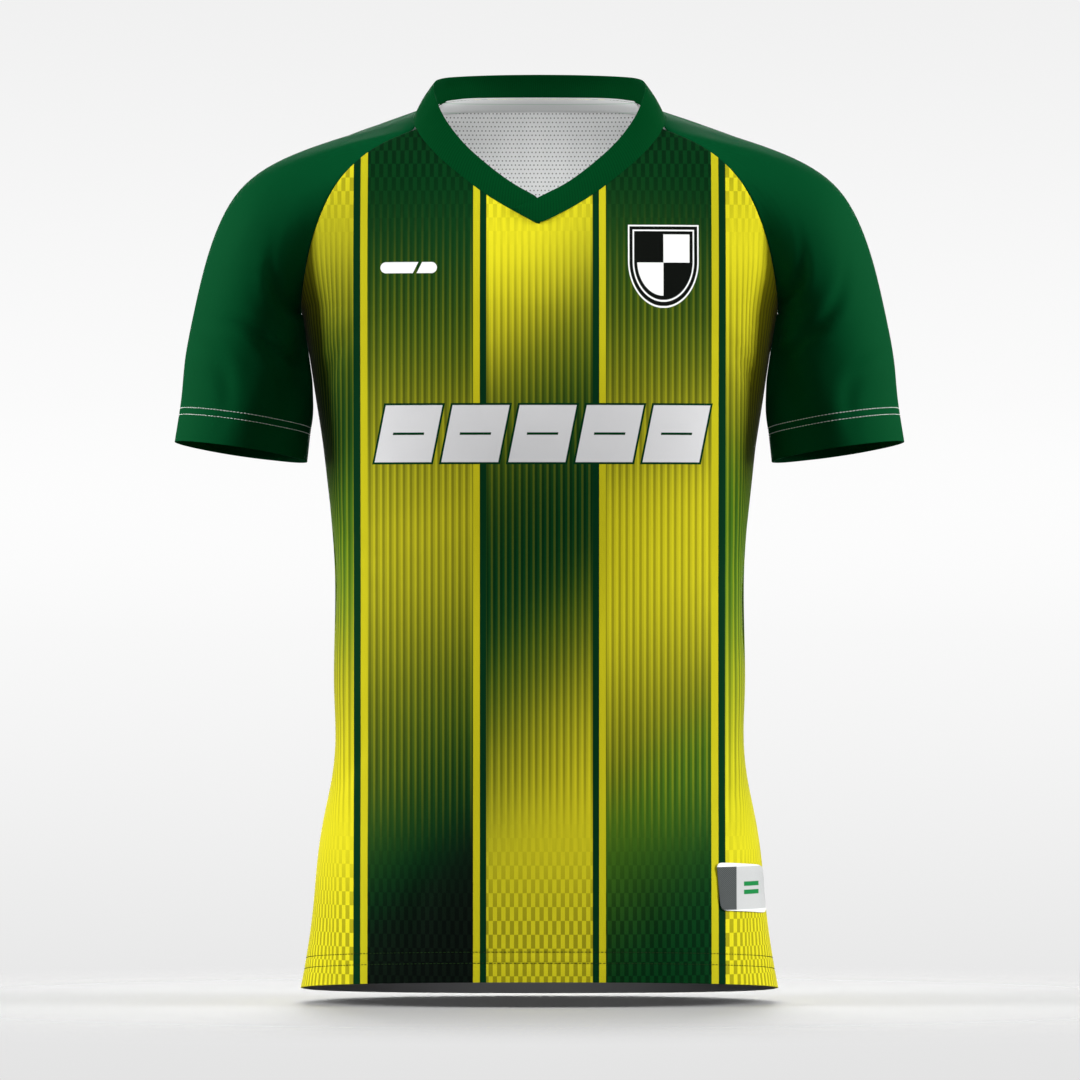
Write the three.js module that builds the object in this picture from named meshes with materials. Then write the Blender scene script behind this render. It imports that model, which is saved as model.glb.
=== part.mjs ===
// A short-sleeved football jersey with raglan sleeves and a lapped V-neck collar, standing hollow
// as it hangs on a general upright figure with the arms a little out from the sides.
// Millimetres, +Z up, the front faces -Y. The origin is the middle of the neck opening at the height
// where the collar seam crosses the top of the shoulders.
import * as THREE from "three";

// Sizes of an adult medium jersey. The cloth is drawn at a wall that a solid can carry.
const CLOTH = 1.2; // wall of the body and sleeve panels
const RIB = 1.8; // wall of the folded rib collar
const TAPE = 1; // wall of the neck tape and of the hem label
const SEAM = 0.34; // space left between sewn pieces
const UNDERARM_Z = -160; // where the armholes end and the side seams start
const HEM_SIDE_Z = -700.5; // the hem at the side seams
const HEM_TILT = 9; // the hem is this much higher at mid front and lower at mid back
const ROUND = 2.3; // squareness of the level sections, 2 being an ellipse
const SLEEVE_FRONT = 0.42; // share of a sleeve's girth where the front raglan seam ends
const SLEEVE_BACK = 0.58; // and where the back one starts
const BODY_SLOPE = 0.9; // turn of the body point whose slope a sleeve carries on, next to the seam's
const NECK_SLOPE = [-10, 0, 9]; // and the step towards the neck whose slope its top carries on

// How finely each piece is divided.
const ACROSS = 28; // columns over the front and over the back
const BODY_ROWS = 16; // rows from hem to underarm
const RAGLAN_ROWS = 12; // rows from underarm to neck
const NECK_STEPS = 5; // columns of a sleeve along the neck
const BAND_STEPS = 3; // rows over the collar band

// Level sections of the body: half width, and how far front and back lie from the side seams.
// Above the underarm the half width is that of the shoulders, which the sleeves carry on.
const BODY = [
  { z: -712, wide: 192.5, front: 138, back: 131 },
  { z: -700, wide: 191, front: 137.5, back: 130 },
  { z: -670, wide: 185.5, front: 135, back: 127 },
  { z: -638, wide: 181, front: 133, back: 123.5 },
  { z: -606, wide: 179, front: 131, back: 120 },
  { z: -574, wide: 175.5, front: 129, back: 115.5 },
  { z: -542, wide: 167.5, front: 127.5, back: 111.5 },
  { z: -510, wide: 162.5, front: 127, back: 108.5 },
  { z: -462, wide: 165, front: 127, back: 107 },
  { z: -366, wide: 163.5, front: 130, back: 109 },
  { z: -302, wide: 169.5, front: 134, back: 114 },
  { z: -242, wide: 178, front: 137, back: 119 },
  { z: -200, wide: 183, front: 138, back: 122.5 },
  { z: UNDERARM_Z, wide: 191, front: 135.5, back: 124 },
  { z: -145, wide: 196, front: 133, back: 123.5 },
  { z: -125, wide: 205, front: 127.5, back: 122 },
  { z: -100, wide: 214, front: 116.5, back: 119 },
  { z: -76, wide: 222, front: 104, back: 115 },
  { z: -56, wide: 222, front: 92, back: 110 },
  { z: -41, wide: 213, front: 80, back: 105 },
  { z: -24, wide: 174, front: 62, back: 97 },
  { z: -14, wide: 143, front: 50, back: 91 },
  { z: -4, wide: 117, front: 39, back: 85 },
  { z: 4, wide: 106, front: 30, back: 80 },
  { z: 14, wide: 97, front: 22, back: 73 },
];

// Raglan seams from the underarm to the collar: how far out they lie at each height.
const FRONT_SEAM = [
  { z: UNDERARM_Z, x: 191 },
  { z: -145, x: 189.5 },
  { z: -125, x: 186 },
  { z: -100, x: 180 },
  { z: -76, x: 171 },
  { z: -56, x: 160 },
  { z: -45, x: 150 },
  { z: -34, x: 138 },
  { z: -24, x: 122 },
  { z: -14.4, x: 98 },
];
const BACK_SEAM = [
  { z: UNDERARM_Z, x: 191 },
  { z: -145, x: 188.5 },
  { z: -125, x: 183 },
  { z: -100, x: 175 },
  { z: -76, x: 165 },
  { z: -56, x: 153 },
  { z: -45, x: 145 },
  { z: -34, x: 134 },
  { z: -24, x: 121 },
  { z: -14, x: 107 },
  { z: -5, x: 96 },
  { z: 4, x: 87 },
  { z: 9.5, x: 80 },
];

// The neckline that the collar is sewn to, from mid front or mid back out to the raglan seams.
const FRONT_NECK = [
  { x: 0, z: -92.4 },
  { x: 23.6, z: -79.4 },
  { x: 42.8, z: -67.5 },
  { x: 62, z: -52.8 },
  { x: 78.8, z: -38.2 },
  { x: 91.4, z: -24.4 },
  { x: 98, z: -14.4 },
];
const BACK_NECK = [
  { x: 0, z: 13.5 },
  { x: 30, z: 13.3 },
  { x: 60, z: 12.4 },
  { x: 80, z: 9.5 },
];
// The same neckline over a sleeve's top, between its two raglan seams.
const SLEEVE_NECK = [
  { x: 100.8, y: -18, z: -7.5 },
  { x: 100.2, y: 6, z: -2 },
  { x: 94, y: 34, z: 3 },
];

// The collar's free edge from mid front to mid back: share of the seam's length, and place.
const COLLAR_EDGE = [
  { share: 0, x: 0, y: -103, z: -71.5 },
  { share: 0.1, x: 23, y: -95, z: -58.5 },
  { share: 0.2, x: 46, y: -82, z: -40.5 },
  { share: 0.29, x: 62.5, y: -67, z: -24.5 },
  { share: 0.38, x: 75.5, y: -49, z: -6.5 },
  { share: 0.46, x: 82.5, y: -30, z: 9 },
  { share: 0.57, x: 85.5, y: -4, z: 20 },
  { share: 0.66, x: 83.5, y: 22, z: 26 },
  { share: 0.74, x: 77, y: 42, z: 28.8 },
  { share: 0.83, x: 58, y: 58, z: 30.8 },
  { share: 0.92, x: 30, y: 66, z: 32 },
  { share: 1, x: 0, y: 69, z: 32.4 },
];
const BAND_ROLL = 1.6; // how far the band's middle swells out of its edges
const BAND_TILT = 0.5; // how much it swells upwards for each step outwards
const LAP_REACH = 23; // the wearer's left end laps this far over the other, across the front
const LAP_FALL = 11; // and its free edge falls this much on the way
const LAP_STEPS = [0.35, 0.7, 0.9]; // shares of that reach where the end is drawn
const LAP_RUN = 0.12; // share of the seam over which the lapping end comes down to the cloth

// Rings of a sleeve below its armhole: middle, half sizes across and front to back, how far the
// outer side is turned up in degrees, how much lower the back lies, and rows down to the ring.
const SLEEVE_RINGS = [
  { x: 213.5, y: -3, z: -114, across: 62, deep: 75, turn: 68, drop: 0, rows: 5 },
  { x: 230.5, y: -4, z: -187, across: 51, deep: 71, turn: 6, drop: 0, rows: 5 },
  { x: 234, y: -8, z: -236, across: 53, deep: 64, turn: 7, drop: 2, rows: 3 },
  { x: 238.5, y: -11, z: -272, across: 54, deep: 59.5, turn: 8.5, drop: 3.5, rows: 3 },
];

// The largest folds of the body: place on the front or back, lean from upright in degrees, half
// length and half width of the soft trough or ridge, and its depth, a trough being negative.
const BODY_FOLDS = [
  { face: "front", x: -128, z: -432, lean: -24, long: 78, wide: 17, deep: -4 },
  { face: "front", x: 132, z: -450, lean: 27, long: 72, wide: 18, deep: -4 },
  { face: "front", x: -142, z: -548, lean: 14, long: 60, wide: 18, deep: -3.5 },
  { face: "front", x: 145, z: -565, lean: -16, long: 66, wide: 19, deep: -3.5 },
  { face: "front", x: -150, z: -236, lean: 34, long: 52, wide: 17, deep: -3 },
  { face: "front", x: 152, z: -228, lean: -36, long: 56, wide: 17, deep: -3 },
  { face: "back", x: -96, z: -420, lean: 22, long: 88, wide: 21, deep: -5 },
  { face: "back", x: 88, z: -455, lean: -18, long: 96, wide: 22, deep: -5 },
  { face: "back", x: -30, z: -500, lean: 9, long: 110, wide: 24, deep: -4 },
  { face: "back", x: -146, z: -232, lean: 30, long: 60, wide: 18, deep: -4 },
  { face: "back", x: 144, z: -240, lean: -32, long: 58, wide: 18, deep: -4 },
  { face: "back", x: 40, z: -600, lean: -6, long: 90, wide: 26, deep: 3.5 },
];

const FLANK_GAP = 3.5; // the least space between a sleeve and the body beside it
const FLANK_FALL = 8; // fall below the underarm over which that space grows by a millimetre

// The folds of a sleeve: share round its girth from the underarm by way of the front, row from
// armhole to cuff, slope across the rows, half sizes in rows, and depth.
const SLEEVE_FOLDS = [
  { round: 0.1, row: 11, slope: 0.018, long: 5.5, wide: 0.035, deep: -4 },
  { round: 0.17, row: 10, slope: 0.02, long: 5, wide: 0.03, deep: 3 },
  { round: 0.92, row: 11, slope: -0.016, long: 5.5, wide: 0.035, deep: -4 },
  { round: 0.82, row: 9.5, slope: -0.018, long: 5, wide: 0.03, deep: 3 },
  { round: 0.7, row: 7, slope: -0.01, long: 4, wide: 0.04, deep: -2.5 },
];

// The label pressed on the front beside the wearer's left side seam: the columns of the front it
// spans, how far each end is cut in for the rounded corners, and its rows of the front.
const LABEL_COLUMNS = [
  { column: 21.75, inset: 0.12 },
  { column: 21.85, inset: 0.03 },
  { column: 22, inset: 0 },
  { column: 23, inset: 0 },
  { column: 24, inset: 0 },
  { column: 25, inset: 0 },
  { column: 26, inset: 0 },
  { column: 26.8, inset: 0.03 },
  { column: 27, inset: 0.12 },
];
const LABEL_ROWS = { bottom: 1.74, middle: 2, top: 2.88 };
// The tape inside the back of the neck: share of the back neckline it covers, and its height.
const NECK_TAPE = { reach: 0.97, high: 9.8 };

const COLOURS = {
  front: 0xb8b01e,
  back: 0x9aa51d,
  sleeve: 0x00451f,
  collar: 0x00411d,
  tape: 0xb4b6b6,
  label: 0xcfd2d3,
};

// Value of a column at a place along a table's key, by smooth steps between its rows.
function lookUp(table, key, column, at) {
  const rising = table[0][key] < table[table.length - 1][key];
  const rows = rising ? table : [...table].reverse();
  const place = THREE.MathUtils.clamp(at, rows[0][key], rows[rows.length - 1][key]);
  let i = rows.findIndex((row) => row[key] >= place);
  i = Math.max(1, i);
  const slope = (k) => {
    const a = rows[Math.max(0, k - 1)];
    const b = rows[Math.min(rows.length - 1, k + 1)];
    return (b[column] - a[column]) / (b[key] - a[key]);
  };
  const [low, high] = [rows[i - 1], rows[i]];
  const span = high[key] - low[key];
  const t = (place - low[key]) / span;
  const [t2, t3] = [t * t, t * t * t];
  return (
    low[column] * (2 * t3 - 3 * t2 + 1) +
    high[column] * (3 * t2 - 2 * t3) +
    span * (slope(i - 1) * (t3 - 2 * t2 + t) + slope(i) * (t3 - t2))
  );
}

const mix = (a, b, t) => a + (b - a) * t;
const bell = (t) => Math.exp(-t * t);

// Depth of the folds at a place on the front or back.
function foldDepth(face, x, z) {
  let depth = 0;
  for (const fold of BODY_FOLDS) {
    if (fold.face !== face) continue;
    const lean = THREE.MathUtils.degToRad(fold.lean);
    const [dx, dz] = [x - fold.x, z - fold.z];
    const along = dz * Math.cos(lean) + dx * Math.sin(lean);
    const across = dx * Math.cos(lean) - dz * Math.sin(lean);
    depth += fold.deep * bell(along / fold.long) * bell(across / fold.wide);
  }
  return depth;
}

// A point of the body's outer face. turn runs from -1 to 1 between the wearer's right and left
// side seams, 0 being mid front or mid back.
function bodyPoint(face, turn, z) {
  const wide = lookUp(BODY, "z", "wide", z);
  const deep = lookUp(BODY, "z", face, z) * (face === "front" ? -1 : 1);
  const angle = (Math.abs(turn) * Math.PI) / 2;
  const x = Math.sign(turn) * wide * Math.sin(angle) ** (2 / ROUND);
  const y = deep * Math.abs(Math.cos(angle)) ** (2 / ROUND);
  const out = new THREE.Vector3(x / wide ** 2, y / deep ** 2, 0).normalize();
  return new THREE.Vector3(x, y, z).addScaledVector(out, foldDepth(face, x, z));
}

// The turn at which the body is this far out at a height.
function turnAt(x, z) {
  const share = Math.min(1, x / lookUp(BODY, "z", "wide", z));
  return Math.asin(share ** (ROUND / 2)) / (Math.PI / 2);
}

// Values from start to end that put points evenly along a curve.
function evenly(steps, start, end, pointAt) {
  const fine = 400;
  const values = [start];
  const lengths = [0];
  let last = pointAt(start);
  for (let i = 1; i <= fine; i++) {
    const value = mix(start, end, i / fine);
    const point = pointAt(value);
    lengths.push(lengths[i - 1] + point.distanceTo(last));
    values.push(value);
    last = point;
  }
  return Array.from({ length: steps + 1 }, (_, k) => {
    const wanted = (lengths[fine] * k) / steps;
    const i = Math.max(1, lengths.findIndex((length) => length >= wanted - 1e-9));
    const t = (wanted - lengths[i - 1]) / (lengths[i] - lengths[i - 1]);
    return mix(values[i - 1], values[i], t);
  });
}

// A raglan seam's heights and turns, from underarm to neck.
function raglanSeam(face, table) {
  const turn = (z) => (z <= UNDERARM_Z ? 1 : turnAt(lookUp(table, "z", "x", z), z));
  const top = table[table.length - 1].z;
  const heights = evenly(RAGLAN_ROWS, UNDERARM_Z, top, (z) => bodyPoint(face, turn(z), z));
  return heights.map((z) => ({ z, turn: turn(z) }));
}

// A neckline's heights and turns from the middle out to the raglan seam, for half the columns.
function neckline(face, table) {
  const place = (x) => {
    const z = lookUp(table, "x", "z", x);
    return { z, turn: turnAt(x, z) };
  };
  const pointAt = (x) => bodyPoint(face, place(x).turn, place(x).z);
  return evenly(ACROSS / 2, 0, table[table.length - 1].x, pointAt).map(place);
}

const SEAMS = { front: raglanSeam("front", FRONT_SEAM), back: raglanSeam("back", BACK_SEAM) };
const NECKS = { front: neckline("front", FRONT_NECK), back: neckline("back", BACK_NECK) };

// Height and turn of a point of the front or back cloth. column runs from -1 to 1 across it and
// row from 0 at the hem, by BODY_ROWS at the underarm, to the neck.
function panelPlace(face, column, row) {
  const side = Math.sign(column);
  const out = Math.abs(column);
  if (row <= BODY_ROWS) {
    const lift = Math.cos((out * Math.PI) / 2) ** (2 / ROUND) * (face === "front" ? 1 : -1);
    const hem = HEM_SIDE_Z + HEM_TILT * lift;
    return { z: mix(hem, UNDERARM_Z, row / BODY_ROWS), turn: column };
  }
  const seam = SEAMS[face][row - BODY_ROWS];
  const neck = NECKS[face][Math.round((out * ACROSS) / 2)];
  const tip = NECKS[face][ACROSS / 2];
  const rise = (seam.z - UNDERARM_Z) / (tip.z - UNDERARM_Z);
  const pull = seam.turn - mix(1, tip.turn, rise);
  return {
    z: mix(UNDERARM_Z, neck.z, rise),
    turn: side * (mix(out, neck.turn, rise) + out * pull),
  };
}

function panelPoint(face, column, row) {
  const { z, turn } = panelPlace(face, column, row);
  return bodyPoint(face, turn, z);
}

// Moves a grid's edge points square off the edge, to leave half the space of a seam.
function trimEdge(edge, next) {
  const moves = edge.map((point, i) => {
    const last = edge.length - 1;
    const along = edge[Math.min(last, i + 1)].clone().sub(edge[Math.max(0, i - 1)]).normalize();
    const step = next[i].clone().sub(point);
    step.addScaledVector(along, -step.dot(along));
    return step.lengthSq() > 1e-6 ? step.setLength(SEAM / 2) : step.set(0, 0, 0);
  });
  edge.forEach((point, i) => point.add(moves[i]));
}

function trimmed(grid, { first, last, low, high }) {
  const row = (j) => grid.map((line) => line[j]);
  const [lines, rows] = [grid.length, grid[0].length];
  if (low) trimEdge(row(0), row(1));
  if (high) trimEdge(row(rows - 1), row(rows - 2));
  if (first) trimEdge(grid[0], grid[1]);
  if (last) trimEdge(grid[lines - 1], grid[lines - 2]);
  return grid;
}

// Outward normals of a grid of points, with lines joined end to end where it is a tube.
function normalsOf(grid, tube, outward) {
  const count = grid.length;
  return grid.map((line, i) =>
    line.map((_, j) => {
      const before = tube ? (i + count - 1) % count : Math.max(0, i - 1);
      const after = tube ? (i + 1) % count : Math.min(count - 1, i + 1);
      const round = grid[after][j].clone().sub(grid[before][j]);
      const up = line[Math.min(line.length - 1, j + 1)].clone().sub(line[Math.max(0, j - 1)]);
      return round.cross(up).normalize().multiplyScalar(outward);
    }),
  );
}

// A wall of cloth from a grid of points on its outer face: lines run up, one after another round.
// outward is 1 where round x up points out of the garment, and -1 where it points in.
function wall(grid, thick, { tube = false, outward = 1, lift = 0 } = {}) {
  const normals = normalsOf(grid, tube, outward);
  const rows = grid[0].length;
  const lines = grid.length;
  const layer = (depth) =>
    grid.flatMap((line, i) =>
      line.map((point, j) => point.clone().addScaledVector(normals[i][j], lift - depth)),
    );
  const points = [...layer(0), ...layer(thick)];
  const inner = lines * rows;
  const at = (i, j) => (i % lines) * rows + j;
  const faces = [];
  const quad = (a, b, c, d) => faces.push(outward > 0 ? [a, b, c, d] : [d, c, b, a]);
  const steps = tube ? lines : lines - 1;
  for (let i = 0; i < steps; i++) {
    for (let j = 0; j < rows - 1; j++) {
      const [a, b, c, d] = [at(i, j), at(i + 1, j), at(i + 1, j + 1), at(i, j + 1)];
      quad(a, b, c, d);
      quad(a + inner, d + inner, c + inner, b + inner);
    }
    quad(at(i, 0) + inner, at(i + 1, 0) + inner, at(i + 1, 0), at(i, 0));
    const top = rows - 1;
    quad(at(i, top), at(i + 1, top), at(i + 1, top) + inner, at(i, top) + inner);
  }
  for (let j = 0; j < rows - 1 && !tube; j++) {
    const end = lines - 1;
    quad(at(0, j) + inner, at(0, j), at(0, j + 1), at(0, j + 1) + inner);
    quad(at(end, j), at(end, j) + inner, at(end, j + 1) + inner, at(end, j + 1));
  }
  const geometry = new THREE.BufferGeometry().setFromPoints(points);
  geometry.setIndex(faces.flatMap(([a, b, c, d]) => [a, b, c, a, c, d]));
  geometry.computeVertexNormals();
  return geometry;
}

function piece(name, geometry, colour, roughness) {
  const material = new THREE.MeshStandardMaterial({ color: colour, roughness, metalness: 0 });
  const mesh = new THREE.Mesh(geometry, material);
  mesh.name = name;
  return mesh;
}

// The grid of the front or back: a line for each column, from hem to neck.
function panelGrid(face) {
  const rows = BODY_ROWS + RAGLAN_ROWS;
  return Array.from({ length: ACROSS + 1 }, (_, i) => {
    const column = (2 * i) / ACROSS - 1;
    return Array.from({ length: rows + 1 }, (_, row) => panelPoint(face, column, row));
  });
}

// A place on the flat facets of a panel's grid, by column and row.
function onGrid(grid, column, row) {
  const [i, j] = [Math.min(grid.length - 2, Math.floor(column)), Math.floor(row)];
  const [s, t] = [column - i, row - j];
  const [a, b, c, d] = [grid[i][j], grid[i + 1][j], grid[i + 1][j + 1], grid[i][j + 1]];
  const [near, share] = s >= t ? [b, s - t] : [d, t - s];
  const place = a.clone().multiplyScalar(1 - Math.max(s, t));
  return place.addScaledVector(near, share).addScaledVector(c, Math.min(s, t));
}

function panel(face) {
  const grid = trimmed(panelGrid(face), { first: true, last: true, high: true });
  return wall(grid, CLOTH, { outward: face === "front" ? 1 : -1 });
}

// The armhole of the wearer's left sleeve, round from the underarm by the front, neck and back,
// with each point's share of the girth.
function armhole() {
  const onBody = (face, { z, turn }) => bodyPoint(face, turn, z);
  const front = SEAMS.front.map((place) => onBody("front", place));
  const back = SEAMS.back.map((place) => onBody("back", place));
  const over = SLEEVE_NECK.map(({ x, y, z }) => new THREE.Vector3(x, y, z));
  const neck = new THREE.CatmullRomCurve3([front[RAGLAN_ROWS], ...over, back[RAGLAN_ROWS]]);
  const inside = (face, { z, turn }) => bodyPoint(face, turn * BODY_SLOPE, z);
  const loop = front.map((point, k) => ({
    point,
    round: (SLEEVE_FRONT * k) / RAGLAN_ROWS,
    inside: inside("front", SEAMS.front[k]),
  }));
  for (let k = 1; k < NECK_STEPS; k++) {
    const share = k / NECK_STEPS;
    const point = neck.getPointAt(share);
    loop.push({
      point,
      round: mix(SLEEVE_FRONT, SLEEVE_BACK, share),
      inside: point.clone().add(new THREE.Vector3(...NECK_SLOPE)),
    });
  }
  for (let k = RAGLAN_ROWS; k > 0; k--) {
    loop.push({
      point: back[k],
      round: 1 - ((1 - SLEEVE_BACK) * k) / RAGLAN_ROWS,
      inside: inside("back", SEAMS.back[k]),
    });
  }
  return loop;
}

function ringPoint(ring, round) {
  const angle = round * 2 * Math.PI;
  const turn = THREE.MathUtils.degToRad(ring.turn);
  const across = -Math.cos(angle) * ring.across;
  return new THREE.Vector3(
    ring.x + across * Math.cos(turn),
    ring.y - Math.sin(angle) * ring.deep,
    ring.z + across * Math.sin(turn) + Math.sin(angle) * ring.drop,
  );
}

// One line of a sleeve, from its armhole down to the cuff. Near the neck it carries on the slope
// of the body, and near the underarm it turns straight out of the seam.
function sleeveLine({ point, round, inside }) {
  const rings = SLEEVE_RINGS.map((ring) => ringPoint(ring, round));
  const smooth = THREE.MathUtils.smoothstep(Math.min(round, 1 - round), 0.08, 0.3);
  const before = point.clone().addScaledVector(rings[0].clone().sub(point), -0.3);
  before.lerp(inside, smooth);
  const curve = new THREE.CatmullRomCurve3([before, point, ...rings], false, "centripetal");
  const line = [point.clone()];
  SLEEVE_RINGS.forEach(({ rows }, k) => {
    for (let row = 1; row <= rows; row++) {
      line.push(curve.getPoint((1 + k + row / rows) / (SLEEVE_RINGS.length + 1)));
    }
  });
  return line;
}

function sleeveFoldDepth(round, row) {
  let depth = 0;
  for (const fold of SLEEVE_FOLDS) {
    const along = row - fold.row;
    const across = round - fold.round - along * fold.slope;
    depth += fold.deep * bell(along / fold.long) * bell(across / fold.wide);
  }
  return depth;
}

// How far out the body reaches at a height below the underarm, and at a depth.
function flank(y, z) {
  const deep = lookUp(BODY, "z", y < 0 ? "front" : "back", z);
  return lookUp(BODY, "z", "wide", z) * (1 - Math.min(1, Math.abs(y) / deep) ** ROUND) ** (1 / ROUND);
}

// side is 1 for the wearer's left sleeve and -1 for the right one, its mirror image.
function sleeve(side) {
  const loop = armhole();
  const grid = trimmed(loop.map(sleeveLine), { low: true });
  const normals = normalsOf(grid, true, -1);
  grid.forEach((line, i) =>
    line.forEach((point, row) => {
      const depth = row < 2 ? 0 : sleeveFoldDepth(loop[i].round, row);
      point.addScaledVector(normals[i][row], depth);
      if (row > 0 && point.z < UNDERARM_Z) {
        const gap = Math.min(FLANK_GAP, SEAM + (UNDERARM_Z - point.z) / FLANK_FALL);
        point.x = Math.max(point.x, flank(point.y, point.z) + gap);
      }
      point.x *= side;
    }),
  );
  return wall(grid, CLOTH, { tube: true, outward: -side });
}

// The whole neckline of the wearer's left half from mid front to mid back.
function halfNeckline() {
  const onBody = (face) => ({ z, turn }) => bodyPoint(face, turn, z);
  const front = NECKS.front.map(onBody("front"));
  const back = NECKS.back.map(onBody("back")).reverse();
  const over = armhole()
    .slice(RAGLAN_ROWS + 1, RAGLAN_ROWS + NECK_STEPS)
    .map(({ point }) => point.clone());
  return [...front, ...over, ...back];
}

// Lines over the collar band for the wearer's left half, from the seam to the free edge.
function halfBand() {
  const seam = halfNeckline();
  const lengths = [0];
  seam.slice(1).forEach((point, i) => lengths.push(lengths[i] + point.distanceTo(seam[i])));
  return seam.map((point, i) => {
    const share = lengths[i] / lengths[seam.length - 1];
    const place = ["x", "y", "z"].map((axis) => lookUp(COLLAR_EDGE, "share", axis, share));
    return { share, seam: point, edge: new THREE.Vector3(...place) };
  });
}

function bandLine({ seam, edge }, lift) {
  const out = new THREE.Vector3(seam.x, seam.y, 0).normalize();
  out.z = BAND_TILT;
  out.normalize();
  return Array.from({ length: BAND_STEPS + 1 }, (_, j) => {
    const share = j / BAND_STEPS;
    const swell = BAND_ROLL * Math.sin(share * Math.PI);
    return seam.clone().lerp(edge, share).addScaledVector(out, swell + lift);
  });
}

// The collar is one band whose ends meet at the point of the V, the wearer's left end on top.
function collar() {
  const left = halfBand();
  const mirrored = (at) => new THREE.Vector3(-at.x, at.y, at.z);
  const right = left.map(({ share, seam, edge }) => ({
    share,
    seam: mirrored(seam),
    edge: mirrored(edge),
  }));
  const over = RIB + SEAM;
  const under = right.map((line) => bandLine(line, 0));
  const upper = [...left].reverse().map((line) => {
    const near = THREE.MathUtils.clamp(1 - line.share / LAP_RUN, 0, 1);
    return bandLine(line, over * THREE.MathUtils.smoothstep(near, 0, 1));
  });
  const middle = left[0];
  for (const share of LAP_STEPS) {
    const across = LAP_REACH * share;
    const height = lookUp(FRONT_NECK, "x", "z", across);
    const seam = bodyPoint("front", -turnAt(across, height), height);
    const edge = middle.edge.clone().add(new THREE.Vector3(-across, 0, -LAP_FALL * share));
    edge.y = mix(middle.edge.y, seam.y + 1, share);
    upper.push(bandLine({ seam, edge }, over));
  }
  const grid = trimmed([...under, ...upper.slice(1)], { first: true, low: true });
  return wall(grid, RIB, { outward: -1 });
}

// The tape that covers the collar seam inside the back of the neck.
function neckTape() {
  const columns = ACROSS - 2;
  const grid = Array.from({ length: columns + 1 }, (_, i) => {
    const out = NECK_TAPE.reach * ((2 * i) / columns - 1);
    const half = (Math.abs(out) * ACROSS) / 2;
    const [near, far] = [NECKS.back[Math.floor(half)], NECKS.back[Math.ceil(half)]];
    const turn = Math.sign(out) * mix(near.turn, far.turn, half % 1);
    const top = mix(near.z, far.z, half % 1) - SEAM;
    return [top - NECK_TAPE.high, top].map((z) => bodyPoint("back", turn, z));
  });
  return wall(grid, TAPE, { outward: -1, lift: -CLOTH - SEAM });
}

// The plain label on the front, beside the side seam.
function hemLabel() {
  const front = panelGrid("front");
  const { bottom, middle, top } = LABEL_ROWS;
  const grid = LABEL_COLUMNS.map(({ column, inset }) =>
    [bottom + inset, middle, top - inset].map((row) => onGrid(front, column, row)),
  );
  return wall(grid, TAPE, { lift: SEAM + TAPE });
}

const jersey = new THREE.Group();
jersey.add(
  piece("front", panel("front"), COLOURS.front, 0.75),
  piece("back", panel("back"), COLOURS.back, 0.75),
  piece("sleeve_left", sleeve(1), COLOURS.sleeve, 0.7),
  piece("sleeve_right", sleeve(-1), COLOURS.sleeve, 0.7),
  piece("collar", collar(), COLOURS.collar, 0.8),
  piece("neck_tape", neckTape(), COLOURS.tape, 0.6),
  piece("hem_label", hemLabel(), COLOURS.label, 0.45),
);

export default jersey;
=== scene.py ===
# %% [markdown]
# # A football jersey with raglan sleeves
#
# The solids of the jersey come in as a fixed frame: front, back, two sleeves, collar, neck tape and
# label. Each is a plain wall. This lesson turns them into knitted cloth: thin shells with creases,
# seams that roll in, rows of stitching, and printed, rib and mesh finishes made from nodes.
# Everything is in metres and stays where the solids are.

# %% Load the frame
import math

import bmesh
import bpy
import numpy as np
from mathutils import Matrix, Vector
from mathutils.bvhtree import BVHTree


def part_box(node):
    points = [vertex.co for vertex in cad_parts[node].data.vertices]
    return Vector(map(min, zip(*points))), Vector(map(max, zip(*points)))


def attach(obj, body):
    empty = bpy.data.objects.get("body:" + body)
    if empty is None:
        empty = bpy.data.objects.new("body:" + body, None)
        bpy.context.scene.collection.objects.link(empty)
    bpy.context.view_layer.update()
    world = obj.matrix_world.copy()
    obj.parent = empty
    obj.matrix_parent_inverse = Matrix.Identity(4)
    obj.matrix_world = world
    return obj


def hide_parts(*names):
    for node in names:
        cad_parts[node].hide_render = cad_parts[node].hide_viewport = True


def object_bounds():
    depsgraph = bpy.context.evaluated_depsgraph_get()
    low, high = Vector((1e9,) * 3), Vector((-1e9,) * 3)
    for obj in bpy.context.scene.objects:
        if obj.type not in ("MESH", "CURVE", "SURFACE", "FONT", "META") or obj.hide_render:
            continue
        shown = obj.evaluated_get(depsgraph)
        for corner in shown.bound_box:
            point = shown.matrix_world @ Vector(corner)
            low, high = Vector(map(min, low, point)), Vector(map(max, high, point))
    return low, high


MM = 0.001
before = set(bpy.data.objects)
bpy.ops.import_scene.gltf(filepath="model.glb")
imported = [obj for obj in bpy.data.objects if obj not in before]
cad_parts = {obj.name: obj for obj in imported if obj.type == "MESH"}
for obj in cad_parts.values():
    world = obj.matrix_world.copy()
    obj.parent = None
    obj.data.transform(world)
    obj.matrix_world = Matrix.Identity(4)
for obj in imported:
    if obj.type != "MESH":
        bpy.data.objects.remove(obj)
solid_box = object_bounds()
print("solids from", [round(v, 3) for v in solid_box[0]], "to", [round(v, 3) for v in solid_box[1]])

# %% [markdown]
# ## The camera
#
# A product photograph of a jersey is taken level and straight on, from far away, so that nothing
# tapers. A long lens ten metres back does the same. One pixel of the square picture is 0.8 mm at the
# jersey, and the picture's middle is at the height of the chest.

# %% Aim the camera
PIXEL = 0.8 * MM
PICTURE = 1080
NECK_PIXEL = Vector((539.5, 112))  # where the frame's origin falls in the picture
CAMERA_BACK = 10.0
CAMERA_REACH = 60.0
SENSOR = 36.0

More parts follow.
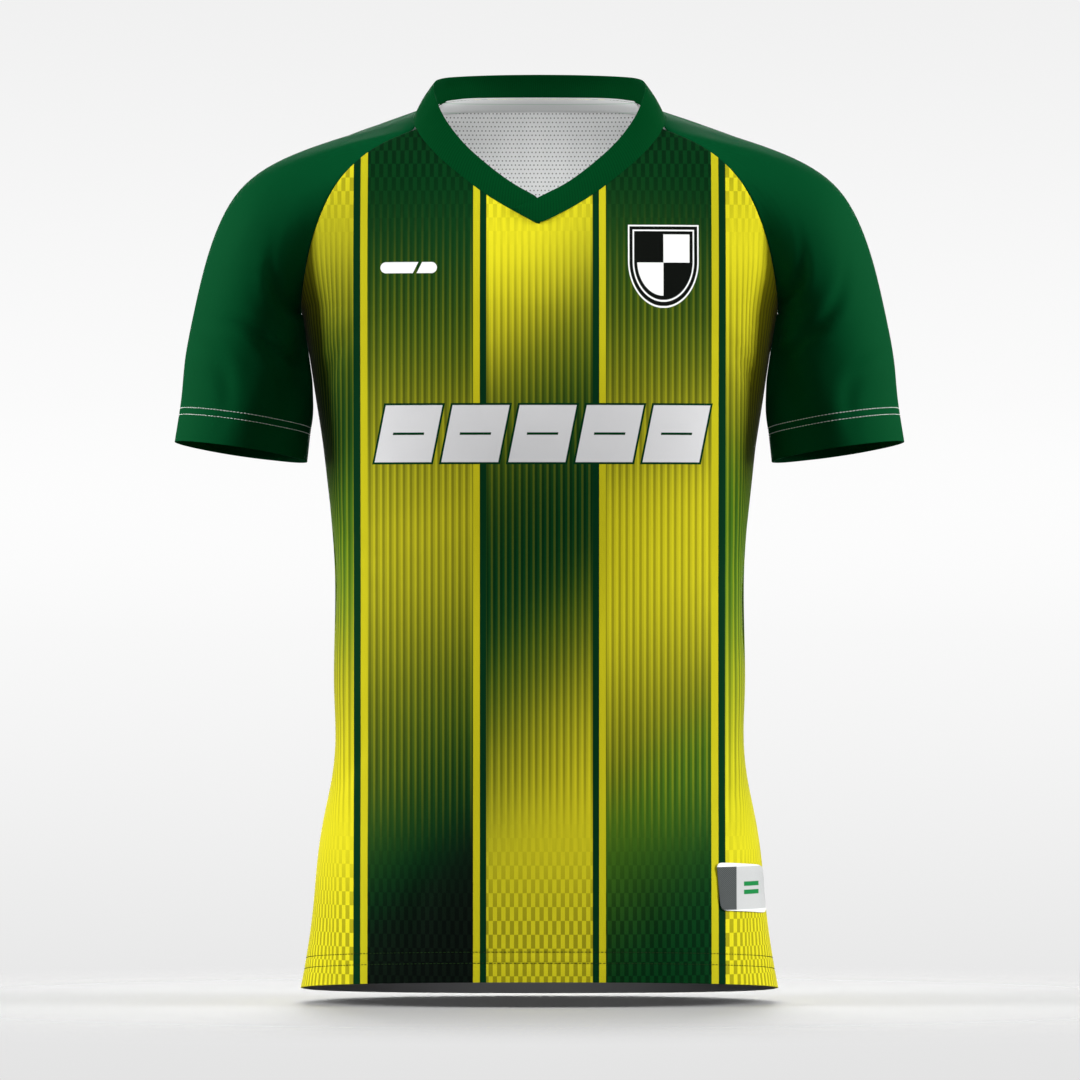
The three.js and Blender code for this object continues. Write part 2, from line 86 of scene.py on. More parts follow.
middle_x = (PICTURE / 2 - NECK_PIXEL.x) * PIXEL
middle_z = (NECK_PIXEL.y - PICTURE / 2) * PIXEL
camera_data = bpy.data.cameras.new("camera")
camera_data.sensor_width = SENSOR
camera_data.lens = SENSOR * CAMERA_BACK / (PICTURE * PIXEL)
camera_data.clip_end = CAMERA_REACH
camera = bpy.data.objects.new("camera", camera_data)
camera.location = (middle_x, -CAMERA_BACK, middle_z)
camera.rotation_euler = (math.radians(90), 0, 0)
bpy.context.scene.collection.objects.link(camera)
bpy.context.scene.camera = camera
bpy.context.scene.view_settings.view_transform = "Standard"
print("lens", round(camera_data.lens), "mm")

# %% [markdown]
# ## A pale floor
#
# The jersey stands free just over a pale floor. A backdrop would stand in the way of the other
# views, so the floor is a round mat whose edge fades out, and the world behind it has the same pale
# colour. From below, the mat can't be seen at all, so that the hollow of the jersey can.

# %% Make the floor
FLOOR_GAP = 2 * MM
FLOOR_RADIUS = 1.5
FLOOR_SIDES = 96
FLOOR_GREY = (0.36, 0.36, 0.36, 1)
FLOOR_ROUGHNESS = 0.7
FLOOR_FADE = (0.15, 0.9)  # radii between which the floor fades out
FLOOR_OPACITY = 0.95  # a little of the backdrop shows through, which keeps the shadow soft
floor_z = solid_box[0].z - FLOOR_GAP

disc = bmesh.new()
bmesh.ops.create_circle(disc, cap_ends=True, segments=FLOOR_SIDES, radius=FLOOR_RADIUS)
bmesh.ops.translate(disc, verts=disc.verts, vec=(0, 0, floor_z))
floor_mesh = bpy.data.meshes.new("floor")
disc.to_mesh(floor_mesh)
disc.free()
floor = bpy.data.objects.new("floor", floor_mesh)
bpy.context.scene.collection.objects.link(floor)
print("floor at", round(floor_z, 4))

# %% [markdown]
# ## Soft light from both sides
#
# Two large banks, one beyond each arm and a little higher than the shoulders, light the outer curves
# of the sleeves and leave the hollows under the arms dark. A row of narrow spots from the front lifts
# the chest and the inside of the neck, and is kept off the sleeves. The back has a bank of its own,
# so that it can be looked at too.

# %% Place the lamps
BANKS = [
    {"name": "left_bank", "at": (-3.2, -0.6, 1.0), "size": (1.0, 2.0), "power": 158},
    {"name": "right_bank", "at": (3.2, -0.6, 1.0), "size": (1.0, 2.0), "power": 158},
    {"name": "overhead", "at": (0.0, -2.2, 3.0), "size": (2.4, 1.6), "power": 27},
    {"name": "left_edge", "at": (-2.0, 1.3, 0.1), "size": (0.5, 2.0), "power": 8},
    {"name": "right_edge", "at": (2.0, 1.3, 0.1), "size": (0.5, 2.0), "power": 8},
    {"name": "back_bank", "at": (0.0, 5.0, 0.6), "size": (2.4, 2.4), "power": 170},
]
SPOTS = [
    {"name": "neck_spot", "high": -0.05, "power": 900, "reach": 0.24},
    {"name": "inside_spot", "high": -0.045, "power": 420, "reach": 0.075},
    {"name": "chest_spot", "high": -0.3, "power": 610, "reach": 0.24},
    {"name": "hem_spot", "high": -0.56, "power": 710, "reach": 0.24},
]
AIM_HEIGHT = -0.35
SPOT_BACK = 7.0
SPOT_RADIUS = 0.06


def place_lamp(name, kind, power, at, aim):
    """Puts a lamp at a place, turned to face another, and returns its light."""
    light = bpy.data.lights.new(name, kind)
    light.energy = power
    holder = bpy.data.objects.new(name, light)
    holder.location = at
    holder.rotation_euler = (Vector(aim) - Vector(at)).to_track_quat("-Z", "Y").to_euler()
    bpy.context.scene.collection.objects.link(holder)
    return light


for bank in BANKS:
    light = place_lamp(bank["name"], "AREA", bank["power"], bank["at"], (0, 0, AIM_HEIGHT))
    light.shape = "RECTANGLE"
    light.size, light.size_y = bank["size"]
for spot in SPOTS:
    at = (0, -SPOT_BACK, spot["high"])
    light = place_lamp(spot["name"], "SPOT", spot["power"], at, (0, 0, spot["high"]))
    light.shadow_soft_size = SPOT_RADIUS
    light.spot_size = 2 * math.atan(spot["reach"] / SPOT_BACK)
    light.spot_blend = 1.0
print(len(BANKS) + len(SPOTS), "lamps")

# %% [markdown]
# ## Wiring nodes by name
#
# A node tree is easier to read as a line for each node. `Wiring` makes a node, sets its options and
# joins its inputs, which are either numbers or the outputs of other nodes. Its masks run from 0 to 1
# over a short soft edge, as ink does.

# %% A small helper for node trees
INK_EDGE = 0.25 * MM  # half the width over which a printed stripe's edge softens
MARK_EDGE = 0.2 * MM  # the same for the marks and the label


class Wiring:
    """Makes nodes in a tree and joins them up."""

    def __init__(self, tree):
        self.tree = tree

    def join(self, node, inputs):
        """Gives each named input of a node its number, or joins it to another node's output."""
        for name, value in inputs.items():
            socket = node.inputs[name]
            if isinstance(value, bpy.types.NodeSocket):
                self.tree.links.new(value, socket)
            else:
                socket.default_value = value

    def make(self, kind, inputs=None, **options):
        node = self.tree.nodes.new(kind)
        for name, value in options.items():
            setattr(node, name, value)  # a group's sockets appear once its tree is set
        self.join(node, inputs or {})
        return node

    def maths(self, operation, first, second=0.0, third=0.0):
        """One step of arithmetic."""
        node = self.make("ShaderNodeMath", {0: first, 1: second, 2: third}, operation=operation)
        return node.outputs[0]

    def times(self, first, second):
        return self.maths("MULTIPLY", first, second)

    def minus(self, first, second):
        return self.maths("SUBTRACT", first, second)

    def over(self, first, second):
        return self.maths("DIVIDE", first, second)

    def past(self, value, step):
        """How far a value is past the last whole step."""
        return self.maths("FLOORED_MODULO", value, step)

    def far(self, x, y):
        """The distance of a place from the middle."""
        return self.maths("SQRT", self.maths("MULTIPLY_ADD", x, x, self.times(y, y)))

    def rescale(self, value, low, high, new_low=0.0, new_high=1.0, kind="LINEAR"):
        """Runs from one number to another while the value runs from low to high."""
        ranges = {"Value": value, "From Min": low, "From Max": high, "To Min": new_low, "To Max": new_high}
        return self.make("ShaderNodeMapRange", ranges, interpolation_type=kind).outputs[0]

    def between(self, value, low, high):
        """Runs smoothly from 0 to 1 while the value runs from low to high."""
        return self.rescale(value, low, high, kind="SMOOTHSTEP")

    def inside(self, value, low, high, soft=INK_EDGE):
        """1 between two places and 0 outside them, with soft ends."""
        after = self.between(value, low - soft, low + soft)
        before = self.between(value, high + soft, high - soft)
        return self.times(after, before)

    def within(self, value, reach):
        """1 while the size of a value is under its reach."""
        return self.between(self.maths("ABSOLUTE", value), reach + MARK_EDGE, reach - MARK_EDGE)

    def blend(self, share, low, high, mode="MIX"):
        """Mixes two colours, which are inputs 6 and 7 of a mix node."""
        inputs = {"Factor": share, 6: low, 7: high}
        return self.make("ShaderNodeMix", inputs, data_type="RGBA", blend_type=mode).outputs[2]

    def ramp(self, value, stops):
        """A colour for each place along a value."""
        node = self.make("ShaderNodeValToRGB", {"Fac": value})
        node.color_ramp.interpolation = "B_SPLINE"
        points = node.color_ramp.elements
        points.remove(points[0])
        points[0].position, points[0].color = stops[0]
        for place, colour in stops[1:]:
            points.new(place).color = colour
        return node.outputs["Color"]

    def split(self, vector):
        return self.make("ShaderNodeSeparateXYZ", {0: vector}).outputs


def new_group(name, inputs, outputs):
    """A shader node group: the group, its wiring, what it is given, and its end node."""
    tree = bpy.data.node_groups.new(name, "ShaderNodeTree")
    for way, sockets in (("INPUT", inputs), ("OUTPUT", outputs)):
        for label, kind in sockets.items():
            tree.interface.new_socket(label, in_out=way, socket_type=kind)
    start = tree.nodes.new("NodeGroupInput")
    end = tree.nodes.new("NodeGroupOutput")
    return tree, Wiring(tree), start.outputs, end


NUMBER, COLOUR, PLACE = "NodeSocketFloat", "NodeSocketColor", "NodeSocketVector"

# %% [markdown]
# ## The backdrop
#
# What the camera sees behind the jersey is brightest level with the chest and a little greyer above
# and below. The world gives that by the direction that one looks in. It lights the cloth with less
# than it shows, which is what the Light Path node is for.

# %% Make the world
BACKDROP = [
    (0.0, (0.72, 0.72, 0.72, 1)),
    (0.42, (0.985, 0.985, 0.985, 1)),
    (0.62, (0.985, 0.985, 0.985, 1)),
    (1.0, (0.85, 0.85, 0.85, 1)),
]
BACKDROP_REACH = 0.046  # steepness of the view at the picture's top and bottom
WORLD_LIGHT = 0.085

world = bpy.data.worlds.new("studio")
bpy.context.scene.world = world
world.use_nodes = True
sky = Wiring(world.node_tree)
steepness = sky.split(sky.make("ShaderNodeTexCoord").outputs["Generated"])[2]
level = sky.rescale(steepness, -BACKDROP_REACH, BACKDROP_REACH)
seen = sky.make("ShaderNodeLightPath").outputs["Is Camera Ray"]
strength = sky.maths("MULTIPLY_ADD", seen, 1 - WORLD_LIGHT, WORLD_LIGHT)
background = world.node_tree.nodes["Background"]
sky.join(background, {"Color": sky.ramp(level, BACKDROP), "Strength": strength})

# %% [markdown]
# ## The knit
#
# Close up, the polyester is a fine knit: columns of small loops about half a millimetre wide. At the
# size of a photograph that is no more than a faint tooth, so it is a bump, with no geometry. The
# group gives the height of the loops and a mask of their tops.

# %% The knit group
GAUGE = 0.55 * MM
WAVINESS = 0.3
DRIFT_SCALE = 90.0  # of the slow waviness that the loops lie on

knit, wire, given, result = new_group(
    "knit",
    {"Place": PLACE, "Gauge": NUMBER},
    {"Height": NUMBER, "Shade": NUMBER},
)
across, up = wire.split(given["Place"])[:2]
column = wire.over(across, given["Gauge"])
course = wire.over(up, given["Gauge"])
wale = wire.maths("SINE", wire.times(column, 2 * math.pi))
loop = wire.maths("SINE", wire.times(course, 2 * math.pi))
loops = wire.maths("MULTIPLY_ADD", wire.times(wale, loop), 0.5, 0.5)
noise = {"Vector": given["Place"], "Scale": DRIFT_SCALE, "Detail": 2.0}
drift = wire.make("ShaderNodeTexNoise", noise).outputs["Fac"]
height = wire.maths("MULTIPLY_ADD", drift, WAVINESS, loops)
wire.join(result, {"Height": height, "Shade": loops})

# %% [markdown]
# ## Dye and painted loop shade
#
# Printed polyester is never one flat colour: the dye takes a little unevenly. On top of that, the
# gaps between the loops get painted shade and their tops get a painted highlight. This group takes a
# colour and gives it back with the uneven dye and the painted loop shade, so every cloth here has it.

# %% The dye and painted loop shade group
CLOUD_SCALE = 14.0
# the strength of the uneven dye, and of the painted shade and highlight on the loops
UNEVENNESS_AND_LOOP_SHADE = 0.14

dye_and_loop_shade, wire, given, result = new_group(
    "dye_and_loop_shade",
    {"Colour": COLOUR, "Place": PLACE, "Loops": NUMBER},
    {"Colour": COLOUR},
)
noise = {"Vector": given["Place"], "Scale": CLOUD_SCALE, "Detail": 4.0}
cloud = wire.make("ShaderNodeTexNoise", noise).outputs["Fac"]
patchy = wire.times(wire.minus(cloud, 0.5), UNEVENNESS_AND_LOOP_SHADE)
# painted shade in the gaps between the loops and a painted highlight on their tops
painted_loop_shade = wire.times(wire.minus(given["Loops"], 0.5), UNEVENNESS_AND_LOOP_SHADE)
strength = wire.maths("ADD", wire.maths("ADD", patchy, painted_loop_shade), 1.0)
dyed_and_shaded = wire.make("ShaderNodeHueSaturation", {"Color": given["Colour"], "Value": strength})
wire.join(result, {"Colour": dyed_and_shaded.outputs["Color"]})

# %% [markdown]
# ## The print
#
# The body is printed before it is sewn: five wide vertical stripes, parted by thin yellow and green
# lines, each shading slowly from yellow through green to near black and back. Fine pinstripes
# run down the middle, and small checks fade in towards the neck and the hem. All of it is worked out
# from the cloth's own map, across and up in metres, so it follows the cloth round the sides.

# %% Colours and stripes of the print
YELLOW = (0.66, 0.6, 0.014, 1)
AMBER = (0.5, 0.455, 0.012, 1)
GOLD = (0.35, 0.33, 0.012, 1)
OLIVE = (0.115, 0.14, 0.008, 1)
GREEN = (0.025, 0.068, 0.006, 1)
LEAF = (0.05, 0.14, 0.008, 1)
LIME = (0.115, 0.21, 0.012, 1)
DARK = (0.0012, 0.034, 0.007, 1)
BLACK = (0.003, 0.0065, 0.004, 1)
LINE_YELLOW = (0.47, 0.43, 0.01, 1)
LINE_GREEN = (0.001, 0.026, 0.007, 1)

PRINT_BOTTOM, PRINT_TOP = -0.71, 0.0  # heights that the shading runs between
SLANTS_AT = (-0.52, -0.18)  # heights of a stripe's lower and upper slant
OUTER_MIDDLE = 0.16  # where the outer stripes turn to the side
STRIPES = {
    "outer_right": {
        "ends": (-0.4, -0.1476),
        "slants": (0.0, 0.0),
        "shades": [
            (0.0, YELLOW), (0.24, YELLOW), (0.35, GOLD), (0.44, LIME), (0.54, LEAF), (0.63, DARK),
            (0.72, GREEN), (0.775, OLIVE), (0.85, GOLD), (0.93, YELLOW), (1.0, YELLOW),
        ],
    },
    "inner_right": {
        "ends": (-0.1364, -0.0524),
        "slants": (0.9, -0.2),
        "shades": [
            (0.0, BLACK), (0.12, BLACK), (0.19, DARK), (0.28, GREEN), (0.39, OLIVE), (0.5, GOLD),
            (0.56, GOLD), (0.67, OLIVE), (0.76, GREEN), (0.85, DARK), (1.0, DARK),
        ],
    },
    "middle": {
        "ends": (-0.042, 0.042),
        "slants": (0.9, 0.9),
        "shades": [
            (0.0, AMBER), (0.17, AMBER), (0.25, GOLD), (0.335, OLIVE), (0.41, GREEN), (0.47, DARK),
            (0.56, DARK), (0.65, GREEN), (0.73, OLIVE), (0.79, GOLD), (0.87, YELLOW),
            (1.0, YELLOW),
        ],
    },
    "inner_left": {
        "ends": (0.0524, 0.1364),
        "slants": (0.85, -0.2),
        "shades": [
            (0.0, DARK), (0.12, DARK), (0.24, LEAF), (0.31, OLIVE), (0.4, GOLD), (0.48, AMBER),
            (0.55, AMBER), (0.6, GOLD), (0.69, OLIVE), (0.78, GREEN), (0.88, DARK), (1.0, DARK),
        ],
    },
    "outer_left": {
        "ends": (0.1476, 0.4),
        "slants": (0.0, 0.0),
        "shades": [
            (0.0, YELLOW), (0.2, YELLOW), (0.38, LIME), (0.5, LEAF), (0.58, LEAF), (0.65, OLIVE),
            (0.735, GOLD), (0.82, YELLOW), (1.0, YELLOW),
        ],
    },
}
LINES = [  # the ends and colour of each line, on both sides of the middle
    (0.042, 0.0472, LINE_GREEN),
    (0.0472, 0.0524, LINE_YELLOW),
    (0.1364, 0.142, LINE_YELLOW),
    (0.142, 0.1476, LINE_GREEN),
]

# "bright" and "dark" are a line's ends and softness in each spacing. "low" and "top" are heights
# where a pattern starts to show and where it is full.
PINSTRIPE = {
    "spacing": 5.5 * MM,
    "bright": (0.0, 0.3, 0.06),
    "dark": (0.36, 0.7, 0.08),
    "low": (-0.6, -0.52),
    "top": (-0.06, -0.17),
    "lift": (0.9, 0.03),  # how much it gains from a light stripe under it, and its least
    "shade": 0.75,
    "tint": (0.5, 0.5, 0.5, 1),
}
CHECK = {
    "wide": 3.35 * MM,
    "high": 10.9 * MM,
    "low": (-0.55, -0.66),
    "top": (-0.12, -0.03),
    "shade": 0.85,
    "tint": (0.42, 0.42, 0.5, 1),
}

# %% The print group
stripe_print, wire, given, result = new_group(
    "stripe_print",
    {"Map": PLACE},
    {"Colour": COLOUR},
)
across, up = wire.split(given["Map"])[:2]

colour = None
for stripe in STRIPES.values():
    low, high = stripe["ends"]
    centre = max(-OUTER_MIDDLE, min(OUTER_MIDDLE, (low + high) / 2))
    slant_low, slant_high = stripe["slants"]
    slant = wire.rescale(up, *SLANTS_AT, -slant_low, -slant_high)
    slanted = wire.maths("MULTIPLY_ADD", wire.minus(across, centre), slant, up)
    height = wire.rescale(slanted, PRINT_BOTTOM, PRINT_TOP)
    shade = wire.ramp(height, stripe["shades"])
    mask = wire.inside(across, low, high)
    colour = shade if colour is None else wire.blend(mask, colour, shade)

phase = wire.past(wire.over(across, PINSTRIPE["spacing"]), 1.0)
pinned = wire.times(wire.between(up, *PINSTRIPE["low"]), wire.between(up, *PINSTRIPE["top"]))
bright = wire.times(wire.inside(phase, *PINSTRIPE["bright"]), pinned)
dark = wire.times(wire.inside(phase, *PINSTRIPE["dark"]), pinned)
lightness = wire.maths("MULTIPLY_ADD", wire.split(colour)[1], *PINSTRIPE["lift"])
colour = wire.blend(wire.times(bright, lightness), colour, YELLOW)
colour = wire.blend(wire.times(dark, PINSTRIPE["shade"]), colour, PINSTRIPE["tint"], "MULTIPLY")

column = wire.maths("FLOOR", wire.over(across, CHECK["wide"]))
course = wire.maths("FLOOR", wire.over(up, CHECK["high"]))
parity = wire.past(wire.maths("ADD", column, course), 2.0)
near_ends = wire.maths("MAXIMUM", wire.between(up, *CHECK["low"]), wire.between(up, *CHECK["top"]))
checked = wire.blend(1.0, colour, CHECK["tint"], "MULTIPLY")
colour = wire.blend(wire.times(wire.times(parity, near_ends), CHECK["shade"]), colour, checked)

from_middle = wire.maths("ABSOLUTE", across)
for low, high, tone in LINES:
    colour = wire.blend(wire.inside(from_middle, low, high), colour, tone)
wire.join(result, {"Colour": colour})
print(len(STRIPES), "stripes and", 2 * len(LINES), "lines")

# %% [markdown]
# ## Marks on the chest
#
# A match jersey carries a badge, a small mark and a line across the chest. These are plain ones: a
# quartered shield, a split bar, and five slanting blocks. Each is a mask worked out from distances on
# the cloth's map, so its edges stay sharp at any size.

# %% The chest marks group
MARK_WHITE = (0.84, 0.85, 0.84, 1)
MARK_BLACK = (0.004, 0.005, 0.004, 1)
MARK_GREY = (0.6, 0.6, 0.61, 1)
BADGE = {"x": 98 * MM, "z": -122 * MM, "wide": 28 * MM, "top": 29 * MM, "fall": 37 * MM}
BADGE_RINGS = ((1.0, MARK_WHITE), (0.96, MARK_BLACK), (0.87, MARK_WHITE), (0.83, MARK_BLACK))
BADGE_FIELD = 0.74  # the quartered field's size, against the badge's
BADGE_QUARTERS = -1 * MM  # the height where the upper and lower quarters meet
BAR = {"x": -103.5 * MM, "z": -127 * MM, "half": 18 * MM, "thick": 4.4 * MM}
BAR_SPLIT = {"at": 7 * MM, "slant": -0.5, "half": 1.5 * MM}
BLOCKS = {"x": 2.4 * MM, "z": -258.4 * MM, "count": 5, "pitch": 53 * MM, "gap": 8 * MM, "tall": 22.5 * MM}
BLOCK_SLANT = 0.2
BLOCK_OUTLINE = 1.7 * MM
BLOCK_SLIT = {"half": 1 * MM, "long": 0.55}  # "long" is its share of the block's width
ROW_EDGE = 0.001  # how soft the ends of the row are, in blocks

chest_marks, wire, given, result = new_group(
    "chest_marks",
    {"Map": PLACE, "Colour": COLOUR},
    {"Colour": COLOUR},
)
across, up = wire.split(given["Map"])[:2]


def shield(wire, u, v, scale):
    """A mask of the badge's outline: a flat top, and sides that run in to a point."""
    top = BADGE["top"] * scale
    fall = BADGE["fall"] * scale
    below = wire.over(wire.maths("MINIMUM", v, 0.0), fall)
    round_off = wire.maths("SQRT", wire.minus(1.0, wire.times(below, below)))
    half = wire.times(round_off, BADGE["wide"] * scale)
    side = wire.minus(wire.maths("ABSOLUTE", u), half)
    sides = wire.between(side, MARK_EDGE, -MARK_EDGE)
    under_top = wire.between(v, top + MARK_EDGE, top - MARK_EDGE)
    above_point = wire.between(v, -fall, MARK_EDGE - fall)
    return wire.times(wire.times(sides, under_top), above_point)


u = wire.minus(across, BADGE["x"])
v = wire.minus(up, BADGE["z"])
colour = given["Colour"]
for scale, tone in BADGE_RINGS:
    colour = wire.blend(shield(wire, u, v, scale), colour, tone)
field = shield(wire, u, v, BADGE_FIELD)
quarters = wire.times(wire.maths("SIGN", u), wire.maths("SIGN", wire.minus(v, BADGE_QUARTERS)))
colour = wire.blend(wire.times(field, wire.maths("MAXIMUM", quarters, 0.0)), colour, MARK_WHITE)

u = wire.minus(across, BAR["x"])
v = wire.minus(up, BAR["z"])
past_end = wire.maths("MAXIMUM", wire.minus(wire.maths("ABSOLUTE", u), BAR["half"]), 0.0)
split = wire.minus(wire.maths("MULTIPLY_ADD", v, BAR_SPLIT["slant"], u), BAR_SPLIT["at"])
kept = wire.minus(1.0, wire.within(split, BAR_SPLIT["half"]))
bar = wire.within(wire.far(past_end, v), BAR["thick"])
colour = wire.blend(wire.times(bar, kept), colour, MARK_WHITE)

v = wire.minus(up, BLOCKS["z"])
slid = wire.maths("MULTIPLY_ADD", v, -BLOCK_SLANT, across)
row_start = BLOCKS["x"] - BLOCKS["count"] * BLOCKS["pitch"] / 2
turn = wire.over(wire.minus(slid, row_start), BLOCKS["pitch"])
in_row = wire.inside(turn, 0.0, float(BLOCKS["count"]), ROW_EDGE)
u = wire.times(wire.minus(wire.past(turn, 1.0), 0.5), BLOCKS["pitch"])
half = (BLOCKS["pitch"] - BLOCKS["gap"]) / 2
for grown, tone in ((BLOCK_OUTLINE, LINE_GREEN), (0.0, MARK_GREY)):
    block = wire.times(wire.within(u, half + grown), wire.within(v, BLOCKS["tall"] + grown))
    colour = wire.blend(wire.times(block, in_row), colour, tone)
slit = wire.times(wire.within(v, BLOCK_SLIT["half"]), wire.within(u, half * BLOCK_SLIT["long"]))
colour = wire.blend(wire.times(slit, in_row), colour, LINE_GREEN)
wire.join(result, {"Colour": colour})

# %% [markdown]
# ## A knitted cloth
#
# Every cloth is a Principled shader with the dye, its painted loop shade and the knit. Polyester is a
# fairly rough surface with a soft sheen at grazing angles. The numbers that are the same all over are
# set on the shader.

# %% A material for cloth
WHITE = (1, 1, 1, 1)
LOOP_RISE = 0.3 * MM
SHEEN_ROUGHNESS = 0.3


def cloth_material(name, colour, gauge, roughness=0.75, sheen=0.05, tint=WHITE, bump=0.12, shine=0.015):
    """A knit cloth. colour is a colour, or a function that wires one from the cloth's map."""
    material = bpy.data.materials.new(name)
    material.use_nodes = True
    wire = Wiring(material.node_tree)
    place = wire.make("ShaderNodeUVMap", uv_map="cloth").outputs["UV"]
    loops = wire.make("ShaderNodeGroup", {"Place": place, "Gauge": gauge}, node_tree=knit)
    base = colour(wire, place) if callable(colour) else colour
    inputs = {"Colour": base, "Place": place, "Loops": loops.outputs["Shade"]}
    # the dye group adds painted shade and highlight on the loops to the colour
    dyed_and_shaded = wire.make("ShaderNodeGroup", inputs, node_tree=dye_and_loop_shade)
    relief = {"Strength": bump, "Distance": LOOP_RISE, "Height": loops.outputs["Height"]}
    surface = {
        "Base Color": dyed_and_shaded.outputs["Colour"],
        "Normal": wire.make("ShaderNodeBump", relief).outputs["Normal"],
        "Roughness": roughness,
        "Sheen Weight": sheen,
        "Sheen Roughness": SHEEN_ROUGHNESS,
        "Sheen Tint": tint,
        "Specular IOR Level": shine,
    }
    wire.join(material.node_tree.nodes["Principled BSDF"], surface)
    return material


# %% [markdown]
# ## What each cloth looks like
#
# The body is printed, its inside is a white mesh with painted shade in its holes and low inside the
# hem, and the collar is ribbed with painted shade in its valleys. The tape and the label are woven.
# Each look is a function of the cloth's own map.

# %% Looks
HOLES = {"spacing": 3.0 * MM, "rise": 3.4 * MM, "radius": 0.55 * MM, "edge": (1.3, 0.7)}
MESH_WHITE = (0.93, 0.935, 0.935, 1)
# painted shade in the holes of the mesh
HOLE_SHADE_GREY = (0.16, 0.16, 0.16, 1)
HEM_SHADE_HEIGHTS = (-0.684, -0.682)  # heights of the edge of the painted shade low inside the hem
# the grey of the painted shade low inside the hem
HEM_SHADE_GREY = (0.2, 0.2, 0.205, 1)
# the rib valleys and their shade are painted shade between the ribs
RIBS = {"spacing": 1.9 * MM, "valley_shade": (0.2, -0.9), "shade": 0.3}
COLLAR_GREEN = (0.0002, 0.042, 0.009, 1)
# the green of the painted shade in the rib valleys
VALLEY_SHADE_GREEN = (0.0001, 0.012, 0.003, 1)
TAPE_LINE = {"ends": (3.4 * MM, 3.9 * MM), "edge": 0.1 * MM, "share": 0.6}
TAPE_GREY = (0.68, 0.69, 0.69, 1)
TAPE_GREEN = (0.3, 0.5, 0.36, 1)
LABEL = {
    "wide": 20 * MM,
    "tall": 17 * MM,
    "end": -4 * MM,
    "hatch": 1.6 * MM,
    "hatch_ends": (0.0, 0.45, 0.1),
    "bars": (2 * MM, 14 * MM),
    "bar_tall": 5 * MM,
    "bar_gap": 1.5 * MM,
    "field": (0.5, 0.51, 0.51, 1),
    "edge": (0.8, 0.81, 0.8, 1),
    "dark": (0.05, 0.055, 0.055, 1),
    "grey": (0.1, 0.11, 0.11, 1),
    "green": (0.01, 0.2, 0.05, 1),
}


def printed(wire, place):
    return wire.make("ShaderNodeGroup", {"Map": place}, node_tree=stripe_print).outputs["Colour"]


def printed_with_marks(wire, place):
    inputs = {"Map": place, "Colour": printed(wire, place)}
    return wire.make("ShaderNodeGroup", inputs, node_tree=chest_marks).outputs["Colour"]


def perforated(wire, place):
    """White mesh with painted shade in small holes in staggered rows, and painted shade low inside the
    hem.
    """
    spacing = HOLES["spacing"]
    rise = HOLES["rise"]
    across, up = wire.split(place)[:2]
    row = wire.maths("FLOOR", wire.over(up, rise))
    shift = wire.times(wire.past(row, 2.0), spacing / 2)
    side = wire.minus(wire.past(wire.maths("ADD", across, shift), spacing), spacing / 2)
    height = wire.minus(wire.past(up, rise), rise / 2)
    soft, hard = HOLES["edge"]
    # painted shade in each hole of the mesh
    hole_shade = wire.between(wire.far(side, height), HOLES["radius"] * soft, HOLES["radius"] * hard)
    mesh = wire.blend(hole_shade, MESH_WHITE, HOLE_SHADE_GREY)
    # painted shade: the inside is greyed low in the hem
    hem_shade = wire.between(up, HEM_SHADE_HEIGHTS[1], HEM_SHADE_HEIGHTS[0])
    return wire.blend(hem_shade, mesh, HEM_SHADE_GREY)


def ribbed(wire, place):
    """Green rib: narrow ribs with painted shade in the valleys between them, square to the band."""
    across = wire.split(place)[0]
    wave = wire.maths("SINE", wire.times(across, 2 * math.pi / RIBS["spacing"]))
    # painted shade in the valleys between the ribs
    valley_shade = wire.between(wave, *RIBS["valley_shade"])
    return wire.blend(wire.times(valley_shade, RIBS["shade"]), COLLAR_GREEN, VALLEY_SHADE_GREEN)


def taped(wire, place):
    """Grey woven tape with a thin pale green line along each side."""
    from_middle = wire.maths("ABSOLUTE", wire.split(place)[1])
    line = wire.inside(from_middle, *TAPE_LINE["ends"], TAPE_LINE["edge"])
    return wire.blend(wire.times(line, TAPE_LINE["share"]), TAPE_GREY, TAPE_GREEN)


def plain_label(wire, place):
    """A white edge round a pale field, a dark hatched end, and two green bars."""
    u, v = wire.split(place)[:2]
    field = wire.times(wire.within(u, LABEL["wide"]), wire.within(v, LABEL["tall"]))
    end = wire.between(u, LABEL["end"] + MARK_EDGE, LABEL["end"] - MARK_EDGE)
    dark_end = wire.times(field, end)
    turn = wire.past(wire.over(wire.maths("ADD", u, v), LABEL["hatch"]), 1.0)
    hatch = wire.times(dark_end, wire.inside(turn, *LABEL["hatch_ends"]))
    bars = wire.times(wire.inside(u, *LABEL["bars"]), wire.within(v, LABEL["bar_tall"]))
    gap = wire.minus(1.0, wire.within(v, LABEL["bar_gap"]))
    colour = wire.blend(field, LABEL["edge"], LABEL["field"])
    colour = wire.blend(dark_end, colour, LABEL["dark"])
    colour = wire.blend(hatch, colour, LABEL["grey"])
    return wire.blend(wire.times(bars, gap), colour, LABEL["green"])


# %% [markdown]
# ## The materials
#
# A row for each cloth and thread, and the floor, which fades out by its distance from the middle and
# is left out where one looks at its underside.

